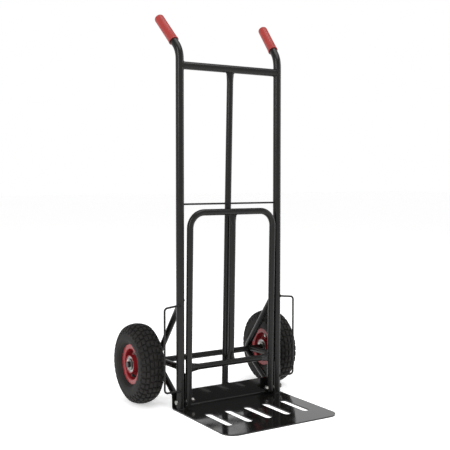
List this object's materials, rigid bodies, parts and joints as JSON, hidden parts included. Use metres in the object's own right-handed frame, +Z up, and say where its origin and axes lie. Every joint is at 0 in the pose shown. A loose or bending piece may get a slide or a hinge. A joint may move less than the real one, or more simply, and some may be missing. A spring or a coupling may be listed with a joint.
{
  "type": "hand truck",
  "caption": "Upright two-wheeled hand truck with a round tube frame, slotted toe plate, fold-down load frame, bent back handles and pneumatic wheels.",
  "frame": {"origin": "on the ground, in the middle of the overall width and overall depth", "axes": "+Z up, -Y to the front (the toe plate), +X to the right when seen from the front"},
  "size_m": [0.606, 0.595, 1.2612],
  "materials": {
    "frame_paint": "glossy black powder coat",
    "grip_sleeve": "satin red sleeve",
    "zinc_steel": "zinc plated",
    "bearing_steel": "zinc plated shield",
    "rim_paint": "glossy red powder coat",
    "tyre_rubber": "matte moulded rubber",
    "tube_rubber": "matte"
  },
  "bodies": {
    "frame": {"left_rail": "frame_paint", "right_rail": "frame_paint", "left_grip": "grip_sleeve", "right_grip": "grip_sleeve", "top_crossbar": "frame_paint", "centre_post": "frame_paint", "cross_rod": "frame_paint", "toe_plate": "frame_paint", "left_pivot_plate": "frame_paint", "right_pivot_plate": "frame_paint", "axle": "frame_paint", "left_side_brace": "frame_paint", "right_side_brace": "frame_paint", "left_strut": "frame_paint", "right_strut": "frame_paint", "left_wheel_guard": "frame_paint", "right_wheel_guard": "frame_paint", "pivot_bolts": "zinc_steel", "pivot_nuts": "zinc_steel", "pivot_washers": "zinc_steel", "axle_washers": "zinc_steel", "split_pins": "zinc_steel"},
    "fold_frame": {"fold_tube": "frame_paint", "fold_crossbar": "frame_paint", "fold_post": "frame_paint"},
    "left_wheel": {"left_tyre": "tyre_rubber", "left_inner_tube": "tube_rubber", "left_rim_outer": "rim_paint", "left_rim_inner": "rim_paint", "left_hub": "rim_paint", "left_bearings": "bearing_steel", "left_rim_bolts": "zinc_steel", "left_rim_nuts": "zinc_steel", "left_valve": "tube_rubber"},
    "right_wheel": {"right_tyre": "tyre_rubber", "right_inner_tube": "tube_rubber", "right_rim_outer": "rim_paint", "right_rim_inner": "rim_paint", "right_hub": "rim_paint", "right_bearings": "bearing_steel", "right_rim_bolts": "zinc_steel", "right_rim_nuts": "zinc_steel", "right_valve": "tube_rubber"}
  },
  "joints": [
    {"name": "fold_hinge", "type": "hinge", "parent": "frame", "child": "fold_frame", "pos_m": [0, 0.0165, 0.026], "axis": [1, 0, 0], "range_deg": [0, 90]},
    {"name": "left_wheel_spin", "type": "hinge", "parent": "frame", "child": "left_wheel", "pos_m": [-0.26, 0.1675, 0.13], "axis": [1, 0, 0], "continuous": true},
    {"name": "right_wheel_spin", "type": "hinge", "parent": "frame", "child": "right_wheel", "pos_m": [0.26, 0.1675, 0.13], "axis": [1, 0, 0], "continuous": true}
  ]
}
